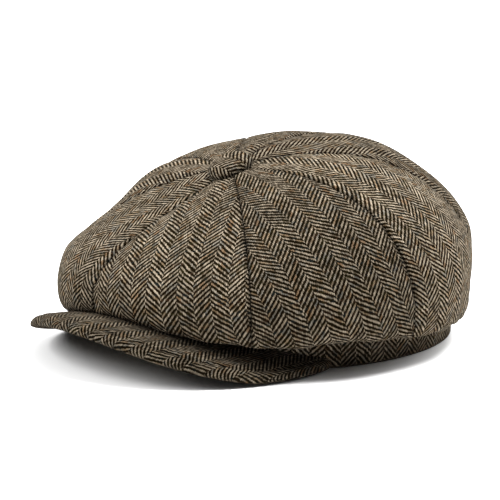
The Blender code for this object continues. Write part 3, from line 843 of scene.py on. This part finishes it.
def round_rows(lo, hi, off_out, off_in, steps, bulge=0.0, dip=0.0):
    """Section of a soft folded tape, up the outside and down the inside."""
    rows, us = [], []
    t = (off_out - off_in) / 2
    mid = (off_out + off_in) / 2
    run = 0.0
    last = None
    outer = np.linspace(lo + t, hi - t, steps)
    pts = [(off_out + bulge * sin(pi * (z - lo) / (hi - lo)), z) for z in outer]
    pts += [(mid + t * cos(a), hi - t + t * sin(a)) for a in np.linspace(0, pi, 7)[1:-1]]
    pts += [(off_in + bulge * sin(pi * (z - lo) / (hi - lo)), z) for z in outer[::-1]]
    pts += [(mid - t * cos(a), lo + t - t * sin(a)) for a in np.linspace(0, pi, 7)[1:-1]]
    for q in pts:
        if last is not None:
            run += sqrt((q[0] - last[0]) ** 2 + (q[1] - last[1]) ** 2)
        us.append(run)
        last = q
    return pts, us


rows, us = round_rows(0.0, BAND_H, 0.0004, -0.0017, 12, 0.0005)
band = tape("band_cloth", TWEED_BAND_SHADED, rows, 320, us)
co = np.array([v.co for v in band.data.vertices])
amp = ease(co[:, 2] / 0.004) * ease((0.060 - co[:, 2]) / 0.01)
d = field(co, 0.020, 3) * 0.0005 + field(co, 0.009, 4) * 0.00022
nrm = np.stack([co[:, 0] / BAND_X ** 2, co[:, 1] / BAND_Y ** 2, 0 * co[:, 0]], -1)
nrm /= np.linalg.norm(nrm, axis=1, keepdims=True)
co = co + nrm * (np.clip(d, -0.0002, 0.0006) * amp)[:, None]
band.data.vertices.foreach_set("co", co.astype(np.float32).ravel())
ride(band, "cap", ["band_outer"])

o1 = -BAND_T - GAP
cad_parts["band_interfacing"].data.materials.clear()
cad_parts["band_interfacing"].data.materials.append(BUCKRAM)

o2 = o1 - INTER_T - GAP
rows, us = round_rows(0.0006, SWEAT_H, o2 + 0.0001, o2 - SWEAT_T, 10, 0.0)
sweat = tape("sweatband_tape", TAPE, rows, 240, us)
ride(sweat, "cap", ["sweatband"])


def stitches(name, path, normals, mat, length, gap, radius, lift=0.0):
    """A row of thread stitches along a path: each is a small raised bar whose
    ends dive into the cloth."""
    path = np.asarray(path, float)
    seg = np.linalg.norm(np.diff(path, axis=0), axis=1)
    run = np.concatenate([[0], np.cumsum(seg)])
    total = run[-1]
    count = int(total // (length + gap))
    ring_n, along = 6, 6
    vs, fs = [], []

    def at(d, arr):
        return np.array([np.interp(d, run, arr[:, c]) for c in range(3)])

    for c in range(count):
        d0 = c * (length + gap) + gap / 2
        base = len(vs)
        for k in range(along + 1):
            t = k / along
            d = d0 + length * t
            p = at(d, path)
            q = at(min(d + 1e-4, total), path) - at(max(d - 1e-4, 0), path)
            q /= max(np.linalg.norm(q), 1e-9)
            n = at(d, normals)
            n -= q * (n @ q)
            n /= max(np.linalg.norm(n), 1e-9)
            b = np.cross(q, n)
            h = lift + radius * (1.6 * sin(pi * t) - 0.9)
            r = radius * (0.55 + 0.45 * sin(pi * t))
            for m in range(ring_n):
                a = 2 * pi * m / ring_n
                vs.append(p + n * (h + r * sin(a)) + b * r * cos(a))
        for k in range(along):
            for m in range(ring_n):
                m2 = (m + 1) % ring_n
                fs.append((base + k * ring_n + m, base + k * ring_n + m2,
                           base + (k + 1) * ring_n + m2, base + (k + 1) * ring_n + m))
        # blunt ends
        e0, e1 = len(vs), len(vs) + 1
        vs.append(np.mean(vs[base:base + ring_n], axis=0))
        vs.append(np.mean(vs[base + along * ring_n:base + (along + 1) * ring_n], axis=0))
        for m in range(ring_n):
            m2 = (m + 1) % ring_n
            fs.append((e0, base + m2, base + m, e0))
            fs.append((e1, base + along * ring_n + m, base + along * ring_n + m2, e1))
    me = bpy.data.meshes.new(name)
    me.from_pydata([tuple(map(float, v)) for v in vs], [], [tuple(dict.fromkeys(f)) for f in fs])
    me.validate()
    me.update()
    layer = me.uv_layers.new(name="weave")
    me.materials.append(mat)
    me.polygons.foreach_set("use_smooth", np.ones(len(me.polygons), bool))
    ob = bpy.data.objects.new(name, me)
    bpy.context.scene.collection.objects.link(ob)
    return ob


# sweatband: two rows of stitching, near its foot and near its top
th = np.linspace(0, 2 * pi, 361)
for tag, zz in (("foot", 0.0030), ("top", SWEAT_H - 0.0024)):
    x, y = ring(th, o2 - SWEAT_T)
    xr, yr = ring(th)
    path = np.stack([x, y, arch(xr, yr) + zz], -1)
    nn = np.stack([-x / BAND_X ** 2, -y / BAND_Y ** 2, 0 * x], -1)
    nn /= np.linalg.norm(nn, axis=1, keepdims=True)
    st = stitches("sweatband_stitches_" + tag, path, nn, THREAD_DARK, 0.0026, 0.0012, 0.00022)
    ride(st, "cap")

# ----------------------------------------------------------------------- label
lab_off = o2 - SWEAT_T - GAP
tl = np.linspace(radians(171), radians(189), 29)
zl = np.linspace(0.0070, 0.0215, 15)
x, y = ring(tl, lab_off)
pts = np.stack([np.repeat(x[:, None], 15, 1), np.repeat(y[:, None], 15, 1), np.repeat(zl[None], 29, 0)], -1)
nn = np.stack([-x / BAND_X ** 2, -y / BAND_Y ** 2, 0 * x], -1)
nn /= np.linalg.norm(nn, axis=1, keepdims=True)
nn = np.repeat(nn[:, None], 15, 1)
run = np.concatenate([[0], np.cumsum(np.hypot(np.diff(x), np.diff(y)))])
uv = np.stack([np.repeat(run[:, None], 15, 1), np.repeat(zl[None], 29, 0)], -1)
pil = 0.00025 * np.sin(pi * np.linspace(0, 1, 15))[None, :] * np.sin(pi * np.linspace(0, 1, 29))[:, None]
lab = shell("size_label_cloth", (pts + nn * pil[..., None])[:, ::-1], (pts - nn * 0.0003)[:, ::-1], LABEL, uv[:, ::-1] + 1.0)
ride(lab, "cap", ["size_label"])
for tag, i in (("a", 1), ("b", -2)):
    path = pts[i] + nn[i] * 0.0001
    st = stitches("label_stitches_" + tag, path, nn[i], THREAD_DARK, 0.0016, 0.0008, 0.00016)
    ride(st, "cap")

# ---------------------------------------------------------------------- button
tilt = radians(BUTTON_TILT)
AX = np.array([0, -sin(tilt), cos(tilt)])
EX = np.array([1.0, 0, 0])
EY = np.cross(AX, EX)


def turned(name, mat, profile, seg, dent=None, spin=0.0):
    """Closed turned piece on the button's axis, profile from axis to axis."""
    vs, fs, uv, dark = [], [], [], []
    n = len(profile)
    pr = np.array(profile)
    run = np.concatenate([[0], np.cumsum(np.hypot(*np.diff(pr, axis=0).T))])
    run = run[-1] - run        # cloth length from the crown of the dome
    for k, (r, h) in enumerate(profile):
        for i in range(seg):
            a = 2 * pi * i / seg
            rr = max(r, 1e-6)
            hh = h + (dent(rr, a, h) if dent else 0.0)
            vs.append(APEX + AX * hh + rr * (cos(a) * EX + sin(a) * EY))
            uv.append((run[k] * cos(a + spin), run[k] * sin(a + spin)))
            # painted shade: darker from the rim round onto the underside, where shade falls under the button
            dark.append(-1.25 * float(ease((run[k] - 0.0137) / 0.0014)))    # shaded at the rim
    for k in range(n - 1):
        for i in range(seg):
            j = (i + 1) % seg
            fs.append((k * seg + i, k * seg + j, (k + 1) * seg + j, (k + 1) * seg + i))
    ob = mesh(name, vs, fs, mat, np.array(uv) + 0.9991, np.array(dark))
    import bmesh
    bm = bmesh.new()
    bm.from_mesh(ob.data)
    bmesh.ops.remove_doubles(bm, verts=bm.verts, dist=5e-6)
    bmesh.ops.dissolve_degenerate(bm, edges=bm.edges, dist=1e-7)
    bmesh.ops.recalc_face_normals(bm, faces=bm.faces)
    bm.to_mesh(ob.data)
    bm.free()
    return ob


R, H = BUTTON_R, BUTTON_H
BUTTON_SPIN = radians(88.0)
outer = []
for k in range(19):
    a = pi / 2 * k / 18
    outer.append((R * cos(a) ** 0.85, 0.0011 + (H + 0.0010 - 0.0011) * sin(a) ** 0.90))
under = [(0.0, 0.00055), (R - 0.0045, 0.0002), (R - 0.0028, -0.0005), (R - 0.0014, -0.0010), (R - 0.0004, -0.0008), (R, 0.0)]


def dimple(r, a, h):
    k = ease((r / R - 0.35) / 0.6)
    return 0.00010 * k * sin(11 * a + 1.3 * sin(3 * a)) * (h > 0.0010)


btn = turned("button_cloth", TWEED, under + outer, 96, dimple, BUTTON_SPIN)
ride(btn, "cap", ["button_cover"])
for n, mt in (("button_shell", STEEL), ("button_back", BOARD)):
    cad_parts[n].data.materials.clear()
    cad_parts[n].data.materials.append(mt)


def brim_at(u, d, inset=0.0):
    """Point of the brim's middle surface, d in from its outer edge, and the
    length of the brim there."""
    th = u * radians(BRIM_ANGLE)
    x, y = ring(th, 0.0)
    nx, ny = 0.7 * sin(th), -cos(th)
    k = sqrt(nx * nx + ny * ny)
    a = abs(u)
    length = BRIM_LEN * (1 - a ** 3) + BRIM_SIDE * (a * a - a ** 3) - inset
    length = max(length, 0.0015) + BRIM_SEAM
    run = np.maximum(length - d, 0.0003)
    t = np.clip((run - BRIM_SEAM) / BRIM_LEN, 0.0, 1.1)
    rise = BRIM_LIFT * t - BRIM_DROP * t ** 4 - BRIM_DROOP * t * (x / 0.045) ** 2
    rise = rise * max(1 - (x / ARCH_W) ** 2, 0.0)
    px, py = x + nx / k * run, y + ny / k * run
    return np.stack([px, py, arch(px, py) + BRIM_MID + rise], -1), length


EDGE_D, EDGE_TOP, EDGE_LOW = 0.0046, 0.0032, 0.0026
BRIM_U = 0.985
SEAM_AT = 0.0062           # the edge seam's distance from the brim's outer edge


def brim_half(name, side, turn_to, shift):
    """One of the brim's two cloths, from the band round to the edge seam."""
    nu = 190
    full = EDGE_TOP if side > 0 else EDGE_LOW
    us = BRIM_U * (0.35 * np.sin(np.linspace(-pi / 2, pi / 2, nu + 1)) + 0.65 * np.linspace(-1, 1, nu + 1))
    flat = 1 - (1 - np.linspace(0, 1, 36)) ** 1.25
    phi = np.radians(np.linspace(90, turn_to, 15))[1:]
    nf, cols = len(flat), len(flat) + len(phi) + 1
    out = np.zeros((nu + 1, cols, 3))
    inn = np.zeros((nu + 1, cols, 3))
    dist = np.zeros((nu + 1, cols))
    for i, u in enumerate(us):
        _, length = brim_at(u, 0.0)
        q = min((BRIM_U - abs(u)) * 0.107 / EDGE_D, 1.0)
        thin = sqrt(max(1 - (1 - q) ** 2, 0.0)) * 0.86 + 0.14
        ed = min(EDGE_D, 0.85 * length)
        t = min(0.0011, 0.45 * full * thin)
        low = full - t / thin
        d = np.concatenate([length - (length - ed) * flat, ed * (1 - np.cos(phi))])
        h = np.concatenate([np.full(nf, full), full * np.sin(phi)]) * thin
        di = np.concatenate([d[:nf], ed - (ed - t) * np.cos(phi)])
        hi = np.concatenate([np.full(nf, low), low * np.sin(phi)]) * thin
        # turned in at the edge seam
        d = np.append(d, d[-1] + min(0.0016, 0.4 * ed))
        di = np.append(di, di[-1] + min(0.0010, 0.2 * ed))
        h, hi = np.append(h, h[-1] * 0.55), np.append(hi, hi[-1] * 0.75)
        mid, _ = brim_at(u, d)
        mi, _ = brim_at(u, di)
        out[i] = mid + np.stack([0 * d, 0 * d, side * h], -1)
        inn[i] = mi + np.stack([0 * d, 0 * d, side * hi], -1)
        dist[i] = d
    pts = out.reshape(-1, 3)
    soft = (field(pts, 0.040, 7 + side) * 0.0007 + field(pts, 0.014, 9 + side) * 0.00025).reshape(nu + 1, cols)
    hem = -0.00045 * np.exp(-((dist - SEAM_AT) / 0.0009) ** 2) + 0.00022 * np.exp(-((dist - SEAM_AT - 0.003) / 0.0022) ** 2)
    pucker = 0.00022 * np.sin(us[:, None] * 190.0 + soft / 0.00035) * np.exp(-((dist - SEAM_AT) / 0.003) ** 2)
    lift = (np.clip(soft, -0.0005, 0.0005) * ease(dist / 0.008) + hem + pucker) * (np.abs(us)[:, None] < 0.93)
    out[:, :-1, 2] += side * lift[:, :-1]
    inn[:, :-1, 2] += side * lift[:, :-1]
    run = np.zeros((nu + 1, cols))
    run[:, 1:] = np.cumsum(np.linalg.norm(np.diff(out, axis=1), axis=2), axis=1)
    # threads run straight ahead; round the edge the cloth keeps its own length
    x = out[..., 0]
    g = 2 * ARCH_H / ARCH_W ** 2
    past = np.maximum(run - run[:, nf - 1:nf], 0)
    lean = us[:, None] * radians(BRIM_ANGLE)
    v = np.where(np.arange(cols)[None, :] < nf, -out[..., 1], -out[:, nf - 1:nf, 1] + past * np.cos(lean) ** 2)
    u = x * (1 + (g * x) ** 2 / 6) + past * np.sin(lean) * 0.6
    uv = np.stack([1.13 * u + 2.0 + shift[0], 1.13 * v + 2.0 + shift[1]], -1)
    # painted shade, dark in the edge seam's groove; the cloth is also a little lighter along the outer edge
    painted_shade_and_tone = ease(1 - dist / 0.003) * 0.20 - 0.9 * np.exp(-((dist - SEAM_AT) / 0.0007) ** 2)
    if side < 0:
        out, inn, uv, painted_shade_and_tone = out[::-1], inn[::-1], uv[::-1], painted_shade_and_tone[::-1]
    return shell(name, out, inn, TWEED_BRIM_SHADED, uv, painted_shade_and_tone)


top_cloth = brim_half("brim_top_cloth", 1, -22.0, (0.0, 0.0))
under_cloth = brim_half("brim_under_cloth", -1, 28.0, (0.0041, 0.0013))


def brim_stiffener():
    nu, nv = 80, 14
    us = np.linspace(-0.88, 0.88, nu + 1)
    a, b = np.zeros((nu + 1, nv + 1, 3)), np.zeros((nu + 1, nv + 1, 3))
    for i, u in enumerate(us):
        _, length = brim_at(u, 0.0)
        end = min((0.88 - abs(u)) * 0.107, 0.004)
        d = np.linspace(length - 0.0016, 0.0062, nv + 1) if length > 0.0085 else np.linspace(length - 0.0016, 0.6 * length, nv + 1)
        mid, _ = brim_at(u, d)
        a[i], b[i] = mid + [0, 0, 0.0008], mid - [0, 0, 0.0008]
    uv = a[..., :2] + 2.0
    return shell("brim_stiffener", a, b, BOARD, uv)


stiff = brim_stiffener()
for ob, nodes, slot in ((top_cloth, ["brim_top_cover"], "tweed"), (under_cloth, ["brim_under_cover"], "tweed"),
                        (stiff, ["brim_board"], "brim_board")):
    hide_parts(*nodes)
    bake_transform(ob)

# ----------------------------------------------------------------------- stage
def floor_mat():
    g = Graph("floor_white")
    p = g.obj()
    n = g.noise(p, 3.0, 1.0)
    g.put(g.bsdf.inputs["Base Color"], g.mix(n, (0.79, 0.79, 0.79), (0.81, 0.81, 0.81)))
    g.bsdf.inputs["Roughness"].default_value = 0.9
    g.bsdf.inputs["Specular IOR Level"].default_value = 0.1
    return g.mat


me = bpy.data.meshes.new("floor")
me.from_pydata([(-25, -25, -0.0002), (25, -25, -0.0002), (25, 25, -0.0002), (-25, 25, -0.0002)], [], [(0, 1, 2, 3)])
me.materials.append(floor_mat())
floor = bpy.data.objects.new("floor", me)
bpy.context.scene.collection.objects.link(floor)

world = bpy.data.worlds.new("studio")
bpy.context.scene.world = world
world.use_nodes = True
wt = world.node_tree
# soft dome: bright overhead, dim at the horizon
sky = wt.nodes.new("ShaderNodeTexCoord")
sep = wt.nodes.new("ShaderNodeSeparateXYZ")
ramp = wt.nodes.new("ShaderNodeMapRange")
wt.links.new(sky.outputs["Generated"], sep.inputs[0])
wt.links.new(sep.outputs[2], ramp.inputs[0])
for i, q in enumerate((0.0, 1.0, 0.30, 2.10)):
    ramp.inputs[i + 1].default_value = q
# and dimmer again towards the front left of the cap
turn_to = wt.nodes.new("ShaderNodeVectorMath")
turn_to.operation = "DOT_PRODUCT"
turn_to.inputs[1].default_value = (0.75, -0.66, 0.0)
wt.links.new(sky.outputs["Generated"], turn_to.inputs[0])
dim = wt.nodes.new("ShaderNodeMapRange")
wt.links.new(turn_to.outputs["Value"], dim.inputs[0])
for i, q in enumerate((-0.4, 0.7, 1.0, 0.16)):
    dim.inputs[i + 1].default_value = q
both = wt.nodes.new("ShaderNodeMath")
both.operation = "MULTIPLY"
wt.links.new(ramp.outputs[0], both.inputs[0])
wt.links.new(dim.outputs[0], both.inputs[1])
wt.nodes["Background"].inputs[0].default_value = (1.0, 1.0, 1.0, 1.0)
wt.links.new(both.outputs[0], wt.nodes["Background"].inputs[1])
# the studio wall behind the cap is plain white, whatever the light from it
wall = wt.nodes.new("ShaderNodeBackground")
wall.inputs[0].default_value = (1.0, 1.0, 1.0, 1.0)
wall.inputs[1].default_value = 1.0
seen = wt.nodes.new("ShaderNodeLightPath")
pick_wall = wt.nodes.new("ShaderNodeMixShader")
wt.links.new(seen.outputs["Is Camera Ray"], pick_wall.inputs[0])
wt.links.new(wt.nodes["Background"].outputs[0], pick_wall.inputs[1])
wt.links.new(wall.outputs[0], pick_wall.inputs[2])
wt.links.new(pick_wall.outputs[0], wt.nodes["World Output"].inputs[0])


def area(name, pos, target, size, power, colour=(1, 1, 1)):
    li = bpy.data.lights.new(name, "AREA")
    li.shape = "RECTANGLE"
    li.size, li.size_y = size
    li.energy = power
    li.color = colour
    ob = bpy.data.objects.new(name, li)
    bpy.context.scene.collection.objects.link(ob)
    ob.location = pos
    ob.rotation_euler = (Vector(target) - Vector(pos)).to_track_quat("-Z", "Y").to_euler()
    return ob


CAM_AZ, CAM_EL, CAM_D = 48.8, 12.8, 1.0
F_PX, CX, CY = 1728.0, 283.5, 331.5
a, e = radians(CAM_AZ), radians(CAM_EL)
back = Vector((sin(a) * cos(e), -cos(a) * cos(e), sin(e)))
right = Vector((cos(a), sin(a), 0.0))
upv = back.cross(right)

area("right", right * 1.35 - back * 0.95 + Vector((0, 0, 1.15)), (0, 0, 0.05), (1.1, 1.1), 34.0)
area("left", back * 0.08 - right * 1.55 + Vector((0, 0, 1.2)), (0, 0, 0.05), (1.1, 1.1), 48.0)
over = bpy.data.lights.new("overhead", "SUN")
over.energy = 5.6
over.angle = radians(26.0)
oob = bpy.data.objects.new("overhead", over)
bpy.context.scene.collection.objects.link(oob)
oob.rotation_euler = (right * 0.34 - Vector((back.x, back.y, 0.0)) * 0.08 + Vector((0, 0, 0.93))).to_track_quat("Z", "Y").to_euler()

cam = bpy.data.cameras.new("camera")
cam.sensor_width = 36.0
cam.lens = F_PX / 500.0 * 36.0
cam.shift_x = (250.0 - CX) / 500.0
cam.shift_y = (CY - 250.0) / 500.0
cam.clip_start, cam.clip_end = 0.05, 30.0
cob = bpy.data.objects.new("camera", cam)
bpy.context.scene.collection.objects.link(cob)
rot = Matrix((right, upv, back)).transposed()
cob.matrix_world = Matrix.Translation(back * CAM_D) @ rot.to_4x4()
bpy.context.scene.camera = cob
bpy.context.scene.view_settings.view_transform = "Standard"
